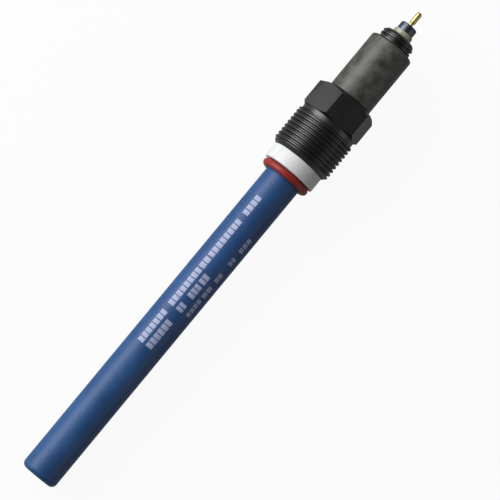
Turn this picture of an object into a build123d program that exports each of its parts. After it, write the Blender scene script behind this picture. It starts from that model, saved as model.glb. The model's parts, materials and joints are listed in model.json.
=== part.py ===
from build123d import *
from math import asin, atan2, cos, degrees, hypot, radians, sin, tan
import os

os.makedirs("parts", exist_ok=True)

# A fluoride ion-selective electrode with a screw gland and a plug head.
# Every piece is drawn upright about the long axis, with the tip's face at height 0 and the pin on
# top. At the end the whole electrode is laid on its side, as it comes to rest on a bench.

# Fits, in millimetres
bond_gap = 0.05
slip_gap = 0.05
seal_gap = 0.02
running_gap = 0.1
end_play = 0.1
head_gap = 0.2

# Shaft
shaft_d = 12.0
shaft_bore_d = 9.0
tip_wall = 3.0
tip_round = 1.8
window_d = 7.2
immersed_length = 115.0
seat_d = 11.8
seat_step = 0.25

# Crystal at the tip, with its ring of sealing resin
crystal_d = 6.4
crystal_thickness = 2.2
crystal_bevel = 0.15
seal_recess = 0.1

# Chamber behind the crystal
chamber_d = 5.6
sleeve_length = 36.0
air_space = 2.2
plug_depth = 3.6
plug_flange = 2.0
groove_lead = 1.2
groove_width = 1.1
groove_depth = 0.85

# Silver wire and the splice above it
wire_d = 1.0
wire_clear_of_crystal = 6.0
wire_above_plug = 3.2
splice_d = 2.0
splice_bore_depth = 2.4
splice_web = 1.0

# Screened lead, from its core outwards, and how far each layer is stripped back
core_d = 0.5
insulation_d = 1.5
shield_d = 2.0
jacket_d = 2.8
insulation_strip = 0.4
shield_strip_low = 1.6
jacket_strip_low = 1.2
jacket_above_potting = 0.5
shield_above_jacket = 1.5

# Sealing ring, thrust washer and the collar that the gland pushes on
ring_section = 2.4
ring_squeeze = 0.05
slip_ring_d = 17.6
slip_ring_height = 4.9
slip_ring_bevel = 0.35
collar_d = 15.0
collar_height = 3.0
collar_bevel = 0.4
collar_recess = 0.2

# Gland with a PG 13.5 thread, whose ridges are drawn as a few closed rings
thread_d = 20.4
thread_depth = 0.7
thread_length = 14.0
ring_spacing = 2.0
ring_groove_width = 1.1
entry_bevel = 1.2
runout_width = 1.2
hex_across = 18.6
hex_height = 9.8
hex_cone_angle = 30.0
hex_cone_d = 17.4
gland_rim_bevel = 0.5

# Head
head_d = 14.7
head_length = 20.7
head_top_round = 0.8
head_low_bevel = 0.3
socket_depth = 8.0
wiring_bore_d = 9.1
potting_length = 8.0
potting_recess = 1.0

# Plug on the head
neck_d = 11.3
neck_height = 3.8
neck_bevel = 0.9
neck_spigot_length = 6.0
neck_bore_d = 5.6
insulator_d = 6.5
insulator_height = 1.8
insulator_spigot_length = 8.0
insulator_bore_d = 3.9
contact_ring_d = 5.6
contact_ring_height = 2.7
contact_ring_bevel = 0.25
contact_ring_bore_d = 2.5
stem_below_insulator = 1.4
sleeve_recess = 0.2
sleeve_below_stem = 0.6

# Centre pin
pin_d = 1.8
pin_length = 5.2
pin_tip_round = 0.7
pin_foot_d = 2.2
pin_foot_height = 0.4
waist_d = 1.3
waist_length = 0.9
stem_d = 1.2
pin_below_sleeve = 0.8
cup_depth = 2.0
cup_floor_gap = 0.3

# Wire from the lead's shield to the shield contact
drain_d = 0.4
drain_bend = 0.8
drain_margin = 0.3

# Radii
shaft_r = shaft_d / 2
seat_r = seat_d / 2
shaft_bore_r = shaft_bore_d / 2
window_r = window_d / 2
crystal_r = crystal_d / 2
chamber_r = chamber_d / 2
wire_r = wire_d / 2
core_r = core_d / 2
insulation_r = insulation_d / 2
shield_r = shield_d / 2
jacket_r = jacket_d / 2
collar_r = collar_d / 2
thread_r = thread_d / 2
head_r = head_d / 2
wiring_bore_r = wiring_bore_d / 2
neck_r = neck_d / 2
neck_bore_r = neck_bore_d / 2
insulator_r = insulator_d / 2
insulator_bore_r = insulator_bore_d / 2
contact_ring_r = contact_ring_d / 2
contact_ring_bore_r = contact_ring_bore_d / 2
pin_r = pin_d / 2
stem_r = stem_d / 2
drain_r = drain_d / 2
gland_bore_r = seat_r + running_gap
ring_stem_r = insulator_bore_r - slip_gap
pin_sleeve_r = contact_ring_bore_r - slip_gap

# Heights of the chamber at the tip
sleeve_top = tip_wall + sleeve_length
plug_low = sleeve_top - plug_depth
gel_top = plug_low - air_space
plug_top = sleeve_top + plug_flange
wire_low = crystal_thickness + wire_clear_of_crystal
wire_top = plug_top + wire_above_plug
splice_low = wire_top - splice_bore_depth
splice_top = wire_top + splice_web + splice_bore_depth
core_low = wire_top + splice_web
insulation_low = splice_top + insulation_strip
shield_low = insulation_low + shield_strip_low
jacket_low = shield_low + jacket_strip_low

# Heights of the screw fitting
ring_low = immersed_length
seat_low = ring_low - seat_step
ring_top = ring_low + ring_section
slip_ring_low = ring_top + end_play
slip_ring_top = slip_ring_low + slip_ring_height
gland_low = slip_ring_top + end_play
collar_low = gland_low + collar_recess
collar_top = collar_low + collar_height
counterbore_top = collar_top + collar_recess
hex_low = gland_low + thread_length
hex_top = hex_low + hex_height
crest_low = gland_low + entry_bevel

# Heights of the head and its plug
head_low = hex_top + head_gap
head_top = head_low + head_length
shaft_top = head_low + socket_depth
potting_top = shaft_top - potting_recess
potting_low = potting_top - potting_length
neck_low = head_top - neck_spigot_length
neck_top = head_top + neck_height
insulator_low = neck_top - insulator_spigot_length
insulator_top = neck_top + insulator_height
ring_stem_low = insulator_low - stem_below_insulator
contact_ring_top = insulator_top + contact_ring_height
pin_sleeve_low = ring_stem_low - sleeve_below_stem
pin_sleeve_top = contact_ring_top - sleeve_recess
pin_low = pin_sleeve_low - pin_below_sleeve
pin_foot_top = pin_sleeve_top + pin_foot_height
waist_top = pin_foot_top + waist_length
pin_top = contact_ring_top + pin_length

# Heights of the lead's upper end
jacket_top = potting_top + jacket_above_potting
shield_top = jacket_top + shield_above_jacket
insulation_top = pin_low - insulation_strip
core_top = pin_low + cup_depth - cup_floor_gap

# How it lies: the tip's rounded edge and the low end of the thread both touch the bench
touch_gap_long = crest_low - tip_round
touch_gap_high = thread_r - shaft_r + tip_round
touch_gap = hypot(touch_gap_long, touch_gap_high)
lying_tilt = atan2(touch_gap_high, touch_gap_long) - asin(tip_round / touch_gap)
axis_height = thread_r * cos(lying_tilt) - crest_low * sin(lying_tilt)
lowest_x = tip_round * cos(lying_tilt) - (shaft_r - tip_round) * sin(lying_tilt) - tip_round
pin_tip_centre = pin_top - pin_tip_round
highest_x = (
    pin_tip_centre * cos(lying_tilt)
    + (pin_r - pin_tip_round) * sin(lying_tilt)
    + pin_tip_round
)
tip_x = -(lowest_x + highest_x) / 2
laid_down = Pos(tip_x, 0, axis_height) * Rot(0, 90 - degrees(lying_tilt), 0)


def turned(*corners):
    """Turn the half section with these (radius, height) corners about the long axis."""
    outline = Polyline(*corners, close=True)
    return revolve(Plane.XZ * make_face(outline), Axis.Z)


def tube(inner_r, outer_r, low, high):
    return turned((inner_r, low), (outer_r, low), (outer_r, high), (inner_r, high))


def rod(radius, low, high):
    return tube(0, radius, low, high)


def rims(piece, radius, height):
    """The circular edges of a piece that have this radius at this height."""
    circles = piece.edges().filter_by(GeomType.CIRCLE)
    near = 1e-4
    return circles.filter_by(
        lambda edge: abs(edge.radius - radius) < near
        and abs(edge.arc_center.Z - height) < near
    )


# Measuring end


def make_shaft_tube():
    """The shaft, turned down a little above the immersed length to seat what it carries."""
    body = turned(
        (window_r, 0),
        (shaft_r, 0),
        (shaft_r, seat_low),
        (seat_r, seat_low),
        (seat_r, shaft_top),
        (shaft_bore_r, shaft_top),
        (shaft_bore_r, tip_wall),
        (window_r, tip_wall),
    )
    return fillet(rims(body, shaft_r, 0), tip_round)


def make_crystal():
    disc = rod(crystal_r, 0, crystal_thickness)
    return chamfer(rims(disc, crystal_r, 0), crystal_bevel)


def make_crystal_seal():
    return tube(crystal_r, window_r, seal_recess + crystal_bevel, crystal_thickness)


def make_chamber_sleeve():
    nose_r = window_r - slip_gap
    sleeve_r = shaft_bore_r - slip_gap
    return turned(
        (chamber_r, crystal_thickness),
        (nose_r, crystal_thickness),
        (nose_r, tip_wall),
        (sleeve_r, tip_wall),
        (sleeve_r, sleeve_top),
        (chamber_r, sleeve_top),
    )


def make_reference_gel():
    return turned(
        (0, crystal_thickness),
        (chamber_r, crystal_thickness),
        (chamber_r, gel_top),
        (wire_r, gel_top),
        (wire_r, wire_low),
        (0, wire_low),
    )


def make_reference_wire():
    return rod(wire_r, wire_low, wire_top)


def make_chamber_plug():
    hole_r = wire_r + slip_gap
    spigot_r = chamber_r - slip_gap
    groove_low = plug_low + groove_lead
    groove_top = groove_low + groove_width
    groove_r = spigot_r - groove_depth
    return turned(
        (hole_r, plug_low),
        (spigot_r, plug_low),
        (spigot_r, groove_low),
        (groove_r, groove_low),
        (groove_r, groove_top),
        (spigot_r, groove_top),
        (spigot_r, sleeve_top),
        (shaft_bore_r - slip_gap, sleeve_top),
        (shaft_bore_r - slip_gap, plug_top),
        (hole_r, plug_top),
    )


def make_plug_seal():
    """A ring of square section that fills the stopper's groove."""
    groove_low = plug_low + groove_lead
    groove_r = chamber_r - slip_gap - groove_depth
    inner_r = groove_r + seal_gap
    outer_r = chamber_r - seal_gap
    return tube(inner_r, outer_r, groove_low + seal_gap, groove_low + groove_width - seal_gap)


def make_wire_splice():
    outer_r = splice_d / 2
    return turned(
        (0, wire_top),
        (wire_r + slip_gap, wire_top),
        (wire_r + slip_gap, splice_low),
        (outer_r, splice_low),
        (outer_r, splice_top),
        (core_r + slip_gap, splice_top),
        (core_r + slip_gap, core_low),
        (0, core_low),
    )


# Screened lead


def make_lead_core():
    return rod(core_r, core_low, core_top)


def make_lead_insulation():
    return tube(core_r, insulation_r, insulation_low, insulation_top)


def make_lead_shield():
    return tube(insulation_r, shield_r, shield_low, shield_top)


def make_lead_jacket():
    return tube(shield_r, jacket_r, jacket_low, jacket_top)


def make_shaft_potting():
    return tube(jacket_r, shaft_bore_r, potting_low, potting_top)


# Screw fitting


def make_o_ring():
    """A ring pressed flat where it grips its seat."""
    section_r = ring_section / 2
    middle = Pos(seat_r + section_r - ring_squeeze, ring_low + section_r)
    shaft_side = Pos(0, ring_low + section_r) * Rectangle(seat_d, 2 * ring_section)
    section = middle * Circle(section_r) - shaft_side
    return revolve(Plane.XZ * section, Axis.Z)


def make_slip_ring():
    outer_r = slip_ring_d / 2
    washer = tube(seat_r + running_gap, outer_r, slip_ring_low, slip_ring_top)
    low_rim = rims(washer, outer_r, slip_ring_low)
    top_rim = rims(washer, outer_r, slip_ring_top)
    return chamfer(low_rim + top_rim, slip_ring_bevel)


def make_thrust_collar():
    collar = tube(seat_r + bond_gap, collar_r, collar_low, collar_top)
    return chamfer(rims(collar, collar_r, collar_top), collar_bevel)


def thread_corners(root_r, low, high):
    """Corners up the outside of the thread: a groove between each ring and the next."""
    count = int((high - low) / ring_spacing)
    first = (low + high - (count - 1) * ring_spacing) / 2
    corners = []
    for i in range(count):
        middle = first + i * ring_spacing
        corners.append((thread_r, middle - ring_groove_width / 2))
        corners.append((root_r, middle))
        corners.append((thread_r, middle + ring_groove_width / 2))
    return corners


def make_gland():
    """Hexagon and thread in one piece, bored for the shaft and counterbored for the collar."""
    root_r = thread_r - thread_depth
    runout_low = hex_low - runout_width
    blank = turned(
        (0, gland_low),
        (thread_r - entry_bevel, gland_low),
        (thread_r, crest_low),
        *thread_corners(root_r, crest_low, runout_low),
        (thread_r, runout_low),
        (root_r, runout_low),
        (root_r, hex_low),
        (0, hex_low),
    )
    outline = RegularPolygon(hex_across / 2, 6, major_radius=False, rotation=30)
    prism = Pos(0, 0, hex_low) * extrude(outline, hex_height)

    # The lathe takes the hexagon's corners off along a cone at each end
    corner_r = hex_across / 2 / cos(radians(30))
    cone_r = hex_cone_d / 2
    cone_drop = (corner_r - cone_r) * tan(radians(hex_cone_angle))
    lathe_limit = turned(
        (0, hex_low),
        (cone_r, hex_low),
        (corner_r, hex_low + cone_drop),
        (corner_r, hex_top - cone_drop),
        (cone_r, hex_top),
        (0, hex_top),
    )

    bored = turned(
        (0, gland_low),
        (collar_r + collar_recess, gland_low),
        (collar_r + collar_recess, counterbore_top),
        (gland_bore_r, counterbore_top),
        (gland_bore_r, hex_top - gland_rim_bevel),
        (gland_bore_r + gland_rim_bevel, hex_top),
        (0, hex_top),
    )
    return blank + (prism & lathe_limit) - bored


# Head and plug


def make_head_body():
    socket_r = seat_r + bond_gap
    body = turned(
        (socket_r, head_low),
        (head_r, head_low),
        (head_r, head_top),
        (wiring_bore_r, head_top),
        (wiring_bore_r, shaft_top),
        (socket_r, shaft_top),
    )
    body = fillet(rims(body, head_r, head_top), head_top_round)
    return chamfer(rims(body, head_r, head_low), head_low_bevel)


def make_neck_insert():
    spigot_r = wiring_bore_r - bond_gap
    return turned(
        (neck_bore_r, neck_low),
        (spigot_r, neck_low),
        (spigot_r, head_top),
        (neck_r, head_top),
        (neck_r, neck_top - neck_bevel),
        (neck_r - neck_bevel, neck_top),
        (neck_bore_r, neck_top),
    )


def make_neck_insulator():
    spigot_r = neck_bore_r - slip_gap
    return turned(
        (insulator_bore_r, insulator_low),
        (spigot_r, insulator_low),
        (spigot_r, neck_top),
        (insulator_r, neck_top),
        (insulator_r, insulator_top),
        (insulator_bore_r, insulator_top),
    )


def make_contact_ring():
    collar = turned(
        (contact_ring_bore_r, ring_stem_low),
        (ring_stem_r, ring_stem_low),
        (ring_stem_r, insulator_top),
        (contact_ring_r, insulator_top),
        (contact_ring_r, contact_ring_top),
        (contact_ring_bore_r, contact_ring_top),
    )
    return chamfer(rims(collar, contact_ring_r, contact_ring_top), contact_ring_bevel)


def make_pin_sleeve():
    return tube(stem_r + slip_gap, pin_sleeve_r, pin_sleeve_low, pin_sleeve_top)


def make_contact_pin():
    """A turned pin with a solder cup bored in its lower end."""
    cup_r = core_r + slip_gap
    pin = turned(
        (cup_r, pin_low),
        (stem_r, pin_low),
        (stem_r, pin_sleeve_top),
        (pin_foot_d / 2, pin_sleeve_top),
        (pin_foot_d / 2, pin_foot_top),
        (waist_d / 2, pin_foot_top),
        (waist_d / 2, waist_top),
        (pin_r, waist_top + (pin_d - waist_d) / 2),
        (pin_r, pin_top),
        (0, pin_top),
        (0, pin_low + cup_depth),
        (cup_r, pin_low + cup_depth),
    )
    return fillet(rims(pin, pin_r, pin_top), pin_tip_round)


def make_shield_wire():
    """A wire beside the lead's shield that bends out to lie along the shield contact's stem."""
    shield_side = shield_r + drain_r + seal_gap
    stem_side = ring_stem_r + drain_r + seal_gap
    route = FilletPolyline(
        (shield_side, 0, jacket_top + drain_margin),
        (shield_side, 0, shield_top - drain_margin),
        (stem_side, 0, pin_low),
        (stem_side, 0, insulator_low - drain_margin),
        radius=drain_bend,
    )
    start = Plane(origin=route @ 0, z_dir=route % 0)
    return sweep(start * Circle(drain_r), path=route)


pieces = {
    "shaft_tube": make_shaft_tube(),
    "crystal": make_crystal(),
    "crystal_seal": make_crystal_seal(),
    "chamber_sleeve": make_chamber_sleeve(),
    "reference_gel": make_reference_gel(),
    "reference_wire": make_reference_wire(),
    "chamber_plug": make_chamber_plug(),
    "plug_seal": make_plug_seal(),
    "wire_splice": make_wire_splice(),
    "lead_core": make_lead_core(),
    "lead_insulation": make_lead_insulation(),
    "lead_shield": make_lead_shield(),
    "lead_jacket": make_lead_jacket(),
    "shaft_potting": make_shaft_potting(),
    "o_ring": make_o_ring(),
    "slip_ring": make_slip_ring(),
    "thrust_collar": make_thrust_collar(),
    "gland": make_gland(),
    "head_body": make_head_body(),
    "neck_insert": make_neck_insert(),
    "neck_insulator": make_neck_insulator(),
    "contact_ring": make_contact_ring(),
    "pin_sleeve": make_pin_sleeve(),
    "contact_pin": make_contact_pin(),
    "shield_wire": make_shield_wire(),
}

for name, piece in pieces.items():
    export_step(laid_down * piece, f"parts/{name}.step")
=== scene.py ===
import json
import math
import bpy
from mathutils import Matrix, Vector


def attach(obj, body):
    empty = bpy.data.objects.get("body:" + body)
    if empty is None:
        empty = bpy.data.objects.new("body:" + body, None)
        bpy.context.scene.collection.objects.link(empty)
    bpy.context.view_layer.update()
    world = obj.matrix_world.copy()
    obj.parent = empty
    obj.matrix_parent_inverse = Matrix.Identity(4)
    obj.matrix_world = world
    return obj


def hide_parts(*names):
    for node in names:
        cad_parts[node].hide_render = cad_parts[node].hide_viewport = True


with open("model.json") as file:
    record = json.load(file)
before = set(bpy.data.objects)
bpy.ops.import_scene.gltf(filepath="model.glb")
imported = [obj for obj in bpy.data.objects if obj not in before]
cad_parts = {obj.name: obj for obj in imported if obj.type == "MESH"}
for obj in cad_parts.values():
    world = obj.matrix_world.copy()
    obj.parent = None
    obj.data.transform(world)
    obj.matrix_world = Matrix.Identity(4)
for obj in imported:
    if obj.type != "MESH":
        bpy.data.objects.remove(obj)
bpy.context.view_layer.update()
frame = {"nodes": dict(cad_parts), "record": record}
print("frame loaded:", len(frame["nodes"]), "nodes")

# Pieces are drawn upright in millimetres, tip down at height 0, and then laid down in metres.
# The crystal's mount gives where the tip is and which way the electrode points.
tipMount = next(mount for mount in frame["record"]["mounts"] if mount["name"] == "crystal_face")
tipPlace = Vector(tipMount["pos_m"])
alongAxis = -Vector(tipMount["axis"]).normalized()
slots = {row["node"]: row["material_slot"] for row in frame["record"]["subparts"]}
lyingTurn = math.atan2(alongAxis.x, alongAxis.z)
mm = 0.001
lying = Matrix.Translation(tipPlace) @ Matrix.Rotation(lyingTurn, 4, "Y") @ Matrix.Scale(mm, 4)
turnSteps = 120  # segments round every turned piece
weldDistance = 0.002  # corners closer than this become one, in mm
spare = 1.0  # how far a cutting tool sticks out of what it cuts, in mm
crestSpare = 0.01  # how far a limiting turn stays off the crests that it mustn't cut, in mm
plugGap = 0.05  # radial gap between the nested plug parts, in mm
bevelAngle, smoothAngle = math.radians(30), math.radians(35)


# Helpers

def measure(nodeName):
    # lowest and highest point and smallest and largest radius of a CAD node, upright, in mm
    upright = lying.inverted()
    points = [upright @ vertex.co for vertex in frame["nodes"][nodeName].data.vertices]
    radii = [math.hypot(point.x, point.y) for point in points]
    heights = [point.z for point in points]
    return {"low": min(heights), "high": max(heights), "inner": min(radii), "outer": max(radii)}


def selectOnly(piece):
    bpy.ops.object.select_all(action="DESELECT")
    piece.select_set(True)
    bpy.context.view_layer.objects.active = piece


def arcCorners(middleRadius, middleHeight, size, startAngle, endAngle, steps):
    # corners along a round edge, angles in degrees from straight out towards the pin
    corners = []
    for step in range(steps + 1):
        angle = math.radians(startAngle + (endAngle - startAngle) * step / steps)
        corners.append((middleRadius + size * math.cos(angle), middleHeight + size * math.sin(angle)))
    return corners


def drawOutline(name, corners):
    # one vertex, extruded through (radius, height) corners
    bpy.ops.object.select_all(action="DESELECT")
    bpy.ops.mesh.primitive_plane_add(size=1)
    piece = bpy.context.object
    piece.name = name
    bpy.ops.object.mode_set(mode="EDIT")
    bpy.ops.mesh.select_mode(type="VERT")
    bpy.ops.mesh.select_all(action="SELECT")
    bpy.ops.mesh.merge(type="CENTER")
    bpy.ops.transform.translate(value=(corners[0][0], 0, corners[0][1]))
    for start, end in zip(corners, corners[1:]):
        step = (end[0] - start[0], 0, end[1] - start[1])
        bpy.ops.mesh.extrude_region_move(TRANSFORM_OT_translate={"value": step})
    bpy.ops.object.mode_set(mode="OBJECT")
    return piece


def turnOutline(piece, pitch=0.0):
    # a lathe turn, or a helix where there is a pitch
    selectOnly(piece)
    bpy.ops.object.modifier_add(type="SCREW")
    screw = piece.modifiers[-1]
    screw.axis = "Z"
    screw.steps = turnSteps
    screw.render_steps = turnSteps
    screw.screw_offset = pitch
    bpy.ops.object.modifier_apply(modifier=screw.name)
    bpy.ops.object.mode_set(mode="EDIT")
    bpy.ops.mesh.select_all(action="SELECT")
    bpy.ops.mesh.remove_doubles(threshold=weldDistance)
    bpy.ops.mesh.normals_make_consistent(inside=False)
    bpy.ops.object.mode_set(mode="OBJECT")
    return piece


def turned(name, corners):
    return turnOutline(drawOutline(name, corners + corners[:1]))


def combine(piece, tool, operation):
    selectOnly(piece)
    bpy.ops.object.modifier_add(type="BOOLEAN")
    modifier = piece.modifiers[-1]
    modifier.operation = operation
    modifier.solver = "EXACT"
    modifier.object = tool
    bpy.ops.object.modifier_apply(modifier=modifier.name)
    bpy.data.objects.remove(tool)
    return piece


def soften(piece, width, segments=3):
    selectOnly(piece)
    bpy.ops.object.modifier_add(type="BEVEL")
    bevel = piece.modifiers[-1]
    bevel.width = width
    bevel.segments = segments
    bevel.limit_method = "ANGLE"
    bevel.angle_limit = bevelAngle
    bpy.ops.object.modifier_apply(modifier=bevel.name)
    return piece


def threadedRod(name, thread, low, high):
    # a rounded thread as a helix, a pitch too long at both ends, and closed
    steps = 12  # corners in one pitch
    pitch = thread["pitch"]
    rootRadius = thread["crestRadius"] - thread["depth"]
    turns = math.ceil((high - low) / pitch) + 3
    corners = []
    for step in range(turns * steps + 1):
        wave = abs(2 * ((step / steps) % 1) - 1)
        rise = min(max((wave - thread["rootShare"]) / (1 - thread["rootShare"] - thread["crestShare"]), 0), 1)
        rise = rise * rise * (3 - 2 * rise)
        corners.append((rootRadius + thread["depth"] * rise, low - 2 * pitch + step * pitch / steps))
    rod = turnOutline(drawOutline(name, corners), pitch)
    bpy.ops.object.mode_set(mode="EDIT")
    bpy.ops.mesh.select_all(action="SELECT")
    bpy.ops.mesh.fill_holes(sides=0)
    bpy.ops.mesh.normals_make_consistent(inside=False)
    bpy.ops.object.mode_set(mode="OBJECT")
    return rod


def finishPiece(piece, body, node, material):
    # laid down, smoothed, dressed and put on its body in place of the CAD node
    selectOnly(piece)
    piece.matrix_world = lying
    bpy.ops.object.transform_apply(location=True, rotation=True, scale=True)
    bpy.ops.object.shade_smooth_by_angle(angle=smoothAngle)
    piece.data.materials.clear()
    piece.data.materials.append(material)
    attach(piece, body)
    if node:
        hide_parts(node)


# Materials

def linearColour(hexColour):
    channels = [int(hexColour[place:place + 2], 16) / 255 for place in (1, 3, 5)]
    return [c / 12.92 if c <= 0.04045 else ((c + 0.055) / 1.055) ** 2.4 for c in channels] + [1.0]


def addNode(tree, kind, settings=None, links=None):
    node = tree.nodes.new(kind)
    for name, value in (settings or {}).items():
        if isinstance(name, int) or name in node.inputs:
            node.inputs[name].default_value = value
        else:
            setattr(node, name, value)
    for name, socket in (links or {}).items():
        tree.links.new(socket, node.inputs[name])
    return node


def sharedByRay(tree, plain, seenMore, reflectedMore):
    # a value that is larger where the camera looks, and where metal and glass show it
    rays = addNode(tree, "ShaderNodeLightPath")
    reflected = addNode(
        tree, "ShaderNodeMath", {"operation": "MAXIMUM"},
        {0: rays.outputs["Is Glossy Ray"], 1: rays.outputs["Is Transmission Ray"]})
    unseen = addNode(
        tree, "ShaderNodeMath", {"operation": "MULTIPLY_ADD", 1: reflectedMore, 2: plain},
        {0: reflected.outputs["Value"]})
    value = addNode(
        tree, "ShaderNodeMath", {"operation": "MULTIPLY_ADD", 1: seenMore},
        {0: rays.outputs["Is Camera Ray"], 2: unseen.outputs["Value"]})
    return value.outputs["Value"]


def surface(look):
    # One finish: clouded colour and roughness, a fine grain, and the fine rings of a lathe. Grain and rings
    # are drawn about three times coarser than real, so that they show at this size. Their depths are shares
    # of their widths.
    grainDepth, ringDepth = 0.2, 0.1
    material = bpy.data.materials.new(look["name"])
    material.use_nodes = True
    tree = material.node_tree
    shader = tree.nodes["Principled BSDF"]
    for name, value in look["shader"].items():
        shader.inputs[name].default_value = value
    place = addNode(tree, "ShaderNodeTexCoord")
    axisPlace = addNode(
        tree, "ShaderNodeMapping",
        {"Rotation": (0, math.pi / 2 - lyingTurn, 0)}, {"Vector": place.outputs["Object"]})
    clouds = addNode(
        tree, "ShaderNodeTexNoise",
        {"Scale": 1 / (look["cloudMm"] * mm), "Detail": 4.0, "Roughness": 0.6},
        {"Vector": axisPlace.outputs["Vector"]})
    cloudShare = addNode(
        tree, "ShaderNodeMapRange", {"From Min": 0.32, "From Max": 0.68}, {"Value": clouds.outputs["Fac"]})
    colour = addNode(
        tree, "ShaderNodeMix",
        {"data_type": "RGBA", 6: linearColour(look["colours"][0]), 7: linearColour(look["colours"][1])},
        {0: cloudShare.outputs["Result"]})
    tree.links.new(colour.outputs[2], shader.inputs["Base Color"])
    gloss = addNode(
        tree, "ShaderNodeMapRange", {"To Min": look["roughness"][0], "To Max": look["roughness"][1]},
        {"Value": clouds.outputs["Fac"]})
    tree.links.new(gloss.outputs["Result"], shader.inputs["Roughness"])
    grain = addNode(
        tree, "ShaderNodeTexNoise", {"Scale": 1 / (look["grainMm"] * mm), "Detail": 2.0},
        {"Vector": axisPlace.outputs["Vector"]})
    grainBump = addNode(
        tree, "ShaderNodeBump",
        {"Strength": look["grainStrength"], "Distance": grainDepth * look["grainMm"] * mm},
        {"Height": grain.outputs["Fac"]})
    lastBump = grainBump
    if look.get("ringMm"):
        # the wave texture draws 20 / (2 pi) bands for each unit of scale
        rings = addNode(
            tree, "ShaderNodeTexWave",
            {"Scale": math.pi / 10 / (look["ringMm"] * mm), "Distortion": 0.6, "Detail": 1.0,
             "bands_direction": "X"},
            {"Vector": axisPlace.outputs["Vector"]})
        lastBump = addNode(
            tree, "ShaderNodeBump",
            {"Strength": look["ringStrength"], "Distance": ringDepth * look["ringMm"] * mm},
            {"Height": rings.outputs["Fac"], "Normal": grainBump.outputs["Normal"]})
    tree.links.new(lastBump.outputs["Normal"], shader.inputs["Normal"])
    return material


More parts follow.
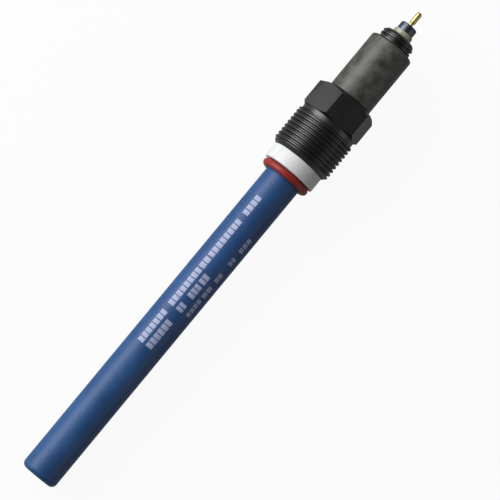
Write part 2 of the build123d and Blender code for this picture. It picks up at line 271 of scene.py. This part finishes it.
materials = {
    # turned plastic tube: a deep blue satin with a soft streak of light along it
    "blue_plastic": surface({
        "name": "turnedBluePlastic", "colours": ("#204473", "#284f80"), "cloudMm": 9.0,
        "roughness": (0.42, 0.50), "grainMm": 0.25, "grainStrength": 0.25,
        "ringMm": 0.5, "ringStrength": 0.12,
        "shader": {"IOR": 1.45, "Specular IOR Level": 0.4}}),
    # glass-filled nylon, moulded: black with a faint grain that catches a grey sheen
    "black_plastic": surface({
        "name": "mouldedBlackNylon", "colours": ("#060606", "#0d0c0c"), "cloudMm": 3.0,
        "roughness": (0.30, 0.44), "grainMm": 0.3, "grainStrength": 0.4,
        "shader": {"IOR": 1.53, "Specular IOR Level": 0.7}}),
    # cast resin head: dark grey, clouded and a little dusty
    "grey_plastic": surface({
        "name": "castGreyResin", "colours": ("#0c0b09", "#4f4e47"), "cloudMm": 3.4,
        "roughness": (0.40, 0.58), "grainMm": 0.35, "grainStrength": 0.6,
        "shader": {"IOR": 1.5, "Specular IOR Level": 0.7}}),
    # turned fluoroplastic: bright white, waxy and soft at the edges
    "white_plastic": surface({
        "name": "turnedWhiteFluoroplastic", "colours": ("#cacccb", "#d6d8d7"), "cloudMm": 4.0,
        "roughness": (0.38, 0.48), "grainMm": 0.4, "grainStrength": 0.2,
        "ringMm": 0.4, "ringStrength": 0.2,
        "shader": {"IOR": 1.38, "Subsurface Weight": 0.15, "Subsurface Scale": 0.001}}),
    # moulded polyamide: warm cream with a slight shine
    "cream_plastic": surface({
        "name": "mouldedCreamPolyamide", "colours": ("#96947a", "#a5a388"), "cloudMm": 2.0,
        "roughness": (0.32, 0.42), "grainMm": 0.2, "grainStrength": 0.2,
        "shader": {"IOR": 1.53}}),
    # extruded natural polymer, used inside
    "natural_plastic": surface({
        "name": "naturalPolymer", "colours": ("#d8d8d0", "#e2e2da"), "cloudMm": 3.0,
        "roughness": (0.40, 0.50), "grainMm": 0.3, "grainStrength": 0.2,
        "shader": {"IOR": 1.48}}),
    # moulded fluoroelastomer: brick red, satin, with a fine bloom
    "red_rubber": surface({
        "name": "mouldedRedFluoroelastomer", "colours": ("#7e1a10", "#8e2416"), "cloudMm": 1.6,
        "roughness": (0.38, 0.52), "grainMm": 0.15, "grainStrength": 0.4,
        "shader": {"IOR": 1.5}}),
    # moulded rubber ring: dull black, used inside
    "black_rubber": surface({
        "name": "mouldedBlackRubber", "colours": ("#161616", "#1e1e1e"), "cloudMm": 1.6,
        "roughness": (0.55, 0.65), "grainMm": 0.15, "grainStrength": 0.4,
        "shader": {"IOR": 1.5}}),
    # nickel plate over turned brass: dark satin metal with fine lathe rings
    "plated_metal": surface({
        "name": "nickelPlatedBrass", "colours": ("#474c54", "#5a5f68"), "cloudMm": 1.5,
        "roughness": (0.32, 0.44), "grainMm": 0.1, "grainStrength": 0.2,
        "ringMm": 0.15, "ringStrength": 0.3,
        "shader": {"Metallic": 1.0}}),
    # gold plate over turned brass, a little worn and greenish
    "gold_plate": surface({
        "name": "goldPlatedBrass", "colours": ("#b5a56a", "#c6b67e"), "cloudMm": 1.2,
        "roughness": (0.28, 0.42), "grainMm": 0.1, "grainStrength": 0.15,
        "ringMm": 0.15, "ringStrength": 0.2,
        "shader": {"Metallic": 1.0}}),
    # grown lanthanum fluoride, cut and polished: a clear, faintly grey disc
    "crystal": surface({
        "name": "polishedFluorideCrystal", "colours": ("#cfd6da", "#dde2e4"), "cloudMm": 1.5,
        "roughness": (0.06, 0.12), "grainMm": 0.4, "grainStrength": 0.05,
        "shader": {"IOR": 1.6, "Transmission Weight": 0.35}}),
    # poured epoxy, cured: black and glossy
    "sealing_resin": surface({
        "name": "castBlackEpoxy", "colours": ("#17181a", "#1f2022"), "cloudMm": 1.5,
        "roughness": (0.18, 0.28), "grainMm": 0.3, "grainStrength": 0.15,
        "shader": {"IOR": 1.55}}),
    # set filling, poured: clear and wet, used inside
    "gel": surface({
        "name": "clearGel", "colours": ("#dfe6e2", "#e8eeea"), "cloudMm": 3.0,
        "roughness": (0.10, 0.20), "grainMm": 0.5, "grainStrength": 0.1,
        "shader": {"IOR": 1.34, "Transmission Weight": 0.6}}),
    # drawn silver wire under its chloride skin: matt grey-violet
    "silver": surface({
        "name": "chloridedSilver", "colours": ("#5d5660", "#6f6a70"), "cloudMm": 0.8,
        "roughness": (0.50, 0.65), "grainMm": 0.1, "grainStrength": 0.4,
        "shader": {"Metallic": 1.0}}),
    # drawn copper, dipped in tin: pale satin metal, used inside
    "tinned_copper": surface({
        "name": "tinnedCopper", "colours": ("#b4b0a8", "#c2beb6"), "cloudMm": 0.8,
        "roughness": (0.30, 0.42), "grainMm": 0.1, "grainStrength": 0.3,
        "shader": {"Metallic": 1.0}}),
    # extruded cable jacket: dark grey, dull, used inside
    "lead_plastic": surface({
        "name": "extrudedLeadPlastic", "colours": ("#1c1c1e", "#242427"), "cloudMm": 2.0,
        "roughness": (0.45, 0.55), "grainMm": 0.3, "grainStrength": 0.3,
        "shader": {"IOR": 1.5}}),
}
# pad-printed ink: pale lilac, thin and matt
printInk = surface({
    "name": "padPrintedInk", "colours": ("#8f97b8", "#a2a9c8"), "cloudMm": 0.6,
    "roughness": (0.50, 0.65), "grainMm": 0.12, "grainStrength": 0.3,
    "shader": {"IOR": 1.5}})
for nodeName, slot in slots.items():
    nodeMesh = frame["nodes"][nodeName].data
    nodeMesh.materials.clear()
    nodeMesh.materials.append(materials[slot])
print("materials:", len(bpy.data.materials))


# Measuring end

shaftSize = measure("shaft_tube")
shaft = {
    "radius": shaftSize["outer"], "top": shaftSize["high"], "tipRound": 1.8, "roundSteps": 10,
    "bore": 4.5, "window": shaftSize["inner"], "tipWall": 3.0, "seatRadius": 5.9,
    "seatLow": measure("o_ring")["low"] - 0.25,
}
tipEdge = arcCorners(
    shaft["radius"] - shaft["tipRound"], shaft["tipRound"], shaft["tipRound"], -90, 0, shaft["roundSteps"])
shaftPiece = turned("shaftTube", [(shaft["window"], 0)] + tipEdge + [
    (shaft["radius"], shaft["seatLow"]), (shaft["seatRadius"], shaft["seatLow"]),
    (shaft["seatRadius"], shaft["top"]), (shaft["bore"], shaft["top"]),
    (shaft["bore"], shaft["tipWall"]), (shaft["window"], shaft["tipWall"])])
finishPiece(shaftPiece, "electrode", "shaft_tube", materials["blue_plastic"])

crystalSize = measure("crystal")
crystalBevel = 0.15
crystalPiece = turned("crystalDisc", [
    (0, 0), (crystalSize["outer"] - crystalBevel, 0), (crystalSize["outer"], crystalBevel),
    (crystalSize["outer"], crystalSize["high"]), (0, crystalSize["high"])])
finishPiece(crystalPiece, "electrode", "crystal", materials["crystal"])

# Rows of plain printed blocks along the shaft. An angle is in degrees from the underside, a run in mm from
# the tip.
printRows = {
    "proud": 0.012, "depth": 0.05, "block": 1.4, "gap": 0.32, "roundSteps": 180,
    "rows": (
        {"angle": 144, "width": 2.1,
         "runs": ((97.4, 106.0), (83.0, 96.8), (78.7, 82.4), (64.4, 78.1), (50.3, 62.0))},
        {"angle": 175, "width": 2.1,
         "runs": ((74.9, 77.9), (69.6, 74.1), (64.4, 67.0), (50.3, 60.4))},
        {"angle": 208, "width": 1.6,
         "runs": ((89.4, 94.4), (84.5, 87.1), (78.0, 81.0), (72.0, 76.0), (64.8, 71.0))},
    ),
}


def makeBlock(name, row, low, high):
    # a slice of thin tube that hugs the shaft
    bpy.ops.object.select_all(action="DESELECT")
    bpy.ops.mesh.primitive_cylinder_add(
        vertices=printRows["roundSteps"], radius=shaft["radius"] + printRows["proud"], depth=high - low,
        end_fill_type="NOTHING", location=(0, 0, (low + high) / 2))
    bar = bpy.context.object
    bar.name = name
    bpy.ops.object.transform_apply(location=True)
    halfAngle = math.degrees(row["width"] / 2 / shaft["radius"])
    for face in bar.data.polygons:
        angle = math.degrees(math.atan2(face.center.y, face.center.x)) % 360
        face.select = abs(angle - row["angle"]) > halfAngle
    bpy.ops.object.mode_set(mode="EDIT")
    bpy.ops.mesh.select_mode(type="FACE")
    bpy.ops.mesh.delete(type="FACE")
    bpy.ops.object.mode_set(mode="OBJECT")
    bpy.ops.object.modifier_add(type="SOLIDIFY")
    bar.modifiers[-1].thickness = printRows["depth"]
    bar.modifiers[-1].offset = -1
    bpy.ops.object.modifier_apply(modifier=bar.modifiers[-1].name)
    return bar


bars = []
for rowNumber, row in enumerate(printRows["rows"]):
    for low, high in row["runs"]:
        blocks = round((high - low) / (printRows["block"] + printRows["gap"]))
        pitch = (high - low + printRows["gap"]) / blocks
        for block in range(blocks):
            start = low + block * pitch
            bars.append(makeBlock(f"printBlock{rowNumber}", row, start, start + pitch - printRows["gap"]))
bpy.ops.object.select_all(action="DESELECT")
for bar in bars:
    bar.select_set(True)
bpy.context.view_layer.objects.active = bars[0]
bpy.ops.object.join()
bars[0].name = "printBlocks"
finishPiece(bars[0], "electrode", None, printInk)
print("measuring end done")


# Screw fitting

ringSize = measure("o_ring")
sealRing = {"section": (ringSize["high"] - ringSize["low"]) / 2, "flash": 0.05, "halfSteps": 16}
ringMiddle = (ringSize["outer"] - sealRing["section"], (ringSize["low"] + ringSize["high"]) / 2)
seatAngle = math.degrees(math.acos((ringSize["inner"] - ringMiddle[0]) / sealRing["section"]))
ringCorners = arcCorners(
    *ringMiddle, sealRing["section"], -seatAngle, seatAngle, 2 * sealRing["halfSteps"])
partingRadius, partingHeight = ringCorners[sealRing["halfSteps"]]  # a little flash where the mould parts
ringCorners[sealRing["halfSteps"]] = (partingRadius + sealRing["flash"], partingHeight)
finishPiece(turned("sealRing", ringCorners), "electrode", "o_ring", materials["red_rubber"])

washerSize = measure("slip_ring")
washerEdge = 0.35
washer = soften(turned("thrustWasher", [
    (washerSize["inner"], washerSize["low"]), (washerSize["outer"], washerSize["low"]),
    (washerSize["outer"], washerSize["high"]), (washerSize["inner"], washerSize["high"])]), washerEdge)
finishPiece(washer, "slip_ring", "slip_ring", materials["white_plastic"])

glandSize = measure("gland")
gland = {
    "crestRadius": 10.2, "depth": 0.7, "pitch": 1.411, "rootShare": 0.12, "crestShare": 0.22,
    "entryBevel": 1.2, "runOut": 1.2, "threadLength": 14.0, "intoThread": 0.5, "intoHexagon": 0.3,
    "hexAcross": 18.6, "coneRadius": 8.7, "coneAngle": 30, "softEdge": 0.2,
    "bore": glandSize["inner"], "rimBevel": 0.5, "collarBore": 7.7, "collarBoreDepth": 3.4,
}
low, high = glandSize["low"], glandSize["high"]
hexLow = low + gland["threadLength"]
threadTop = hexLow - gland["runOut"]
rootRadius = gland["crestRadius"] - gland["depth"]
limitRadius = gland["crestRadius"] + crestSpare
barrel = threadedRod("glandThread", gland, low, threadTop)
combine(barrel, turned("barrelLimit", [
    (0, low), (gland["crestRadius"] - gland["entryBevel"], low), (limitRadius, low + gland["entryBevel"]),
    (limitRadius, threadTop), (0, threadTop)]), "INTERSECT")

cornerRadius = gland["hexAcross"] / 2 / math.cos(math.pi / 6)
coneDrop = (cornerRadius - gland["coneRadius"]) * math.tan(math.radians(gland["coneAngle"]))
bpy.ops.object.select_all(action="DESELECT")
bpy.ops.mesh.primitive_cylinder_add(
    vertices=6, radius=cornerRadius, depth=high - hexLow, location=(0, 0, (hexLow + high) / 2))
hexagon = bpy.context.object
hexagon.name = "screwGland"
bpy.ops.object.transform_apply(location=True)
limitRadius = cornerRadius + crestSpare
combine(hexagon, turned("cornerLimit", [  # the lathe takes the corners off along a cone at each end
    (0, hexLow), (gland["coneRadius"], hexLow), (limitRadius, hexLow + coneDrop),
    (limitRadius, high - coneDrop), (gland["coneRadius"], high), (0, high)]), "INTERSECT")
soften(hexagon, gland["softEdge"])
grooveLow, grooveHigh = threadTop - gland["intoThread"], hexLow + gland["intoHexagon"]
combine(hexagon, turned("groove", [
    (0, grooveLow), (rootRadius, grooveLow), (rootRadius, grooveHigh), (0, grooveHigh)]), "UNION")
combine(hexagon, barrel, "UNION")
stepHeight = low + gland["collarBoreDepth"]
combine(hexagon, turned("bores", [
    (0, low - spare), (gland["collarBore"], low - spare), (gland["collarBore"], stepHeight),
    (gland["bore"], stepHeight), (gland["bore"], high - gland["rimBevel"]),
    (gland["bore"] + gland["rimBevel"] + spare, high + spare), (0, high + spare)]), "DIFFERENCE")
finishPiece(hexagon, "gland", "gland", materials["black_plastic"])
print("screw fitting done:", len(hexagon.data.polygons), "faces on the gland")


# Head and plug

headSize = measure("head_body")
head = {
    "topRound": 0.8, "roundSteps": 8, "lowBevel": 0.3, "wiringBore": headSize["inner"], "socket": 5.95,
    "socketDepth": 8.0,
}
socketTop = headSize["low"] + head["socketDepth"]
headTop = arcCorners(
    headSize["outer"] - head["topRound"], headSize["high"] - head["topRound"], head["topRound"], 0, 90,
    head["roundSteps"])
headPiece = turned("headBody", [
    (head["socket"], headSize["low"]), (headSize["outer"] - head["lowBevel"], headSize["low"]),
    (headSize["outer"], headSize["low"] + head["lowBevel"])] + headTop + [
    (head["wiringBore"], headSize["high"]), (head["wiringBore"], socketTop), (head["socket"], socketTop)])
finishPiece(headPiece, "electrode", "head_body", materials["grey_plastic"])

neckSize = measure("neck_insert")
neck = {
    "crestRadius": 5.65, "depth": 0.45, "pitch": 1.4, "rootShare": 0.15, "crestShare": 0.25,
    "topBevel": 0.9, "spigot": 4.5, "intoThread": 0.5,
}
limitRadius = neck["crestRadius"] + crestSpare
neckPiece = threadedRod("neckInsert", neck, headSize["high"], neckSize["high"])
combine(neckPiece, turned("neckLimit", [
    (0, headSize["high"]), (limitRadius, headSize["high"]),
    (limitRadius, neckSize["high"] - neck["topBevel"]),
    (neck["crestRadius"] - neck["topBevel"], neckSize["high"]), (0, neckSize["high"])]), "INTERSECT")
spigotHigh = headSize["high"] + neck["intoThread"]
combine(neckPiece, turned("neckSpigot", [
    (0, neckSize["low"]), (neck["spigot"], neckSize["low"]), (neck["spigot"], spigotHigh),
    (0, spigotHigh)]), "UNION")
combine(neckPiece, turned("neckBore", [
    (0, neckSize["low"] - spare), (neckSize["inner"], neckSize["low"] - spare),
    (neckSize["inner"], neckSize["high"] + spare), (0, neckSize["high"] + spare)]), "DIFFERENCE")
finishPiece(neckPiece, "electrode", "neck_insert", materials["black_plastic"])

insulatorSize = measure("neck_insulator")
insulatorSpigot = neckSize["inner"] - plugGap
insulatorEdge = 0.15
insulator = soften(turned("neckInsulator", [
    (insulatorSize["inner"], insulatorSize["low"]), (insulatorSpigot, insulatorSize["low"]),
    (insulatorSpigot, neckSize["high"]), (insulatorSize["outer"], neckSize["high"]),
    (insulatorSize["outer"], insulatorSize["high"]), (insulatorSize["inner"], insulatorSize["high"])]),
    insulatorEdge)
finishPiece(insulator, "electrode", "neck_insulator", materials["cream_plastic"])

collarSize = measure("contact_ring")
collarStem = insulatorSize["inner"] - plugGap
collarBevel, collarEdge = 0.25, 0.05
collar = soften(turned("shieldContact", [
    (collarSize["inner"], collarSize["low"]), (collarStem, collarSize["low"]),
    (collarStem, insulatorSize["high"]), (collarSize["outer"], insulatorSize["high"]),
    (collarSize["outer"], collarSize["high"] - collarBevel),
    (collarSize["outer"] - collarBevel, collarSize["high"]),
    (collarSize["inner"], collarSize["high"])]), collarEdge, 2)
finishPiece(collar, "electrode", "contact_ring", materials["plated_metal"])

pinSize = measure("contact_pin")
pin = {
    "radius": 0.9, "tipRound": 0.7, "roundSteps": 8, "stem": 0.6, "foot": 1.1, "footHeight": 0.4,
    "waist": 0.65, "waistLength": 0.9, "cup": 0.3, "cupDepth": 2.0, "softEdge": 0.04,
}
footLow = measure("pin_sleeve")["high"]
waistTop = footLow + pin["footHeight"] + pin["waistLength"]
pinTip = arcCorners(
    pin["radius"] - pin["tipRound"], pinSize["high"] - pin["tipRound"], pin["tipRound"], 0, 90,
    pin["roundSteps"])
pinPiece = soften(turned("contactPin", [
    (0, pinSize["low"] + pin["cupDepth"]), (pin["cup"], pinSize["low"] + pin["cupDepth"]),
    (pin["cup"], pinSize["low"]), (pin["stem"], pinSize["low"]), (pin["stem"], footLow),
    (pin["foot"], footLow), (pin["foot"], footLow + pin["footHeight"]),
    (pin["waist"], footLow + pin["footHeight"]), (pin["waist"], waistTop),
    (pin["radius"], waistTop + pin["radius"] - pin["waist"])] + pinTip + [(0, pinSize["high"])]),
    pin["softEdge"], 2)
finishPiece(pinPiece, "electrode", "contact_pin", materials["gold_plate"])
print("head and plug done")


# Camera, floor and light

# The photograph is taken almost from above, a little towards the tip, with the pin up and to the right.
# The place it looks at is in mm along the axis from the tip, and across it.
camera = {
    "roll": 39.57, "pitch": 5.0, "height": 75.0, "aimAlong": 92.4, "aimAcross": 5.85,
    "distance": 0.832, "lens": 200.0, "sensor": 36.0,
}
upFromAxis = Vector((-alongAxis.z, 0, alongAxis.x))
sideways = Vector((0, -1, 0))
heightAngle, pitchAngle, rollAngle = (math.radians(camera[name]) for name in ("height", "pitch", "roll"))
across = math.cos(heightAngle) * upFromAxis + math.sin(heightAngle) * sideways
straightOut = math.sin(heightAngle) * upFromAxis - math.cos(heightAngle) * sideways
toCamera = math.cos(pitchAngle) * straightOut - math.sin(pitchAngle) * alongAxis
seenAxis = math.cos(pitchAngle) * alongAxis + math.sin(pitchAngle) * straightOut
imageRight = math.sin(rollAngle) * seenAxis + math.cos(rollAngle) * across
imageUp = math.cos(rollAngle) * seenAxis - math.sin(rollAngle) * across
aim = tipPlace + mm * (camera["aimAlong"] * alongAxis + camera["aimAcross"] * across)
bpy.ops.object.camera_add()
cameraObject = bpy.context.object
cameraTurn = Matrix((imageRight, imageUp, toCamera)).transposed().to_4x4()
cameraObject.matrix_world = Matrix.Translation(aim + camera["distance"] * toCamera) @ cameraTurn
cameraObject.data.lens = camera["lens"]
cameraObject.data.sensor_width = camera["sensor"]
bpy.context.scene.camera = cameraObject

floor = {
    "size": 3.0, "seenColour": "#f8f8f8", "bounceColour": "#b4b4b4", "roughness": 0.9, "whiteShare": 0.93,
    "reflectedShare": 0.15,
}
bpy.ops.object.select_all(action="DESELECT")
bpy.ops.mesh.primitive_plane_add(size=floor["size"], location=(0, 0, 0))
floorPiece = bpy.context.object
floorPiece.name = "floor"
floorMaterial = bpy.data.materials.new("paleFloor")
floorMaterial.use_nodes = True
tree = floorMaterial.node_tree
floorShader = tree.nodes["Principled BSDF"]
floorShader.inputs["Roughness"].default_value = floor["roughness"]
rays = addNode(tree, "ShaderNodeLightPath")
floorColour = addNode(
    tree, "ShaderNodeMix",
    {"data_type": "RGBA", 6: linearColour(floor["bounceColour"]), 7: linearColour(floor["seenColour"])},
    {0: rays.outputs["Is Camera Ray"]})
tree.links.new(floorColour.outputs[2], floorShader.inputs["Base Color"])
whiteShare = sharedByRay(tree, 0, floor["whiteShare"], floor["reflectedShare"])
white = addNode(tree, "ShaderNodeEmission", {"Color": (1, 1, 1, 1), "Strength": 1.0})
mixed = addNode(
    tree, "ShaderNodeMixShader", {},
    {0: whiteShare, 1: floorShader.outputs["BSDF"], 2: white.outputs["Emission"]})
tree.links.new(mixed.outputs["Shader"], tree.nodes["Material Output"].inputs["Surface"])
floorPiece.data.materials.append(floorMaterial)

# Each lamp stands across the axis and out towards the camera, and shines on the place the camera looks at.
lamps = (
    {"name": "keyLamp", "across": -0.71, "out": 0.70, "distance": 0.6,
     "long": 0.8, "wide": 0.28, "power": 3.5},
    {"name": "sideLamp", "across": -0.91, "out": 0.42, "distance": 0.7,
     "long": 0.8, "wide": 0.16, "power": 3.3},
    {"name": "fillLamp", "across": 0.93, "out": 0.36, "distance": 0.6,
     "long": 0.7, "wide": 0.40, "power": 0.6},
)
for lamp in lamps:
    direction = (lamp["across"] * across + lamp["out"] * straightOut).normalized()
    bpy.ops.object.light_add(type="AREA", location=aim + lamp["distance"] * direction)
    light = bpy.context.object
    light.name = lamp["name"]
    light.data.shape = "RECTANGLE"
    light.data.size = lamp["long"]
    light.data.size_y = lamp["wide"]
    light.data.energy = lamp["power"]
    sideOfLamp = direction.cross(alongAxis).normalized()
    lampTurn = Matrix((sideOfLamp.cross(direction), sideOfLamp, direction)).transposed().to_4x4()
    light.matrix_world = Matrix.Translation(aim + lamp["distance"] * direction) @ lampTurn

# The room is white to the eye and gives the object only a little light.
room = {"light": 0.08, "seenMore": 0.89, "reflectedMore": 0.04}
world = bpy.data.worlds.new("paleRoom")
world.use_nodes = True
background = world.node_tree.nodes["Background"]
background.inputs["Color"].default_value = (1, 1, 1, 1)
strength = sharedByRay(world.node_tree, room["light"], room["seenMore"], room["reflectedMore"])
world.node_tree.links.new(strength, background.inputs["Strength"])
bpy.context.scene.world = world
bpy.context.scene.view_settings.view_transform = "Standard"
print("camera, floor and lamps done")
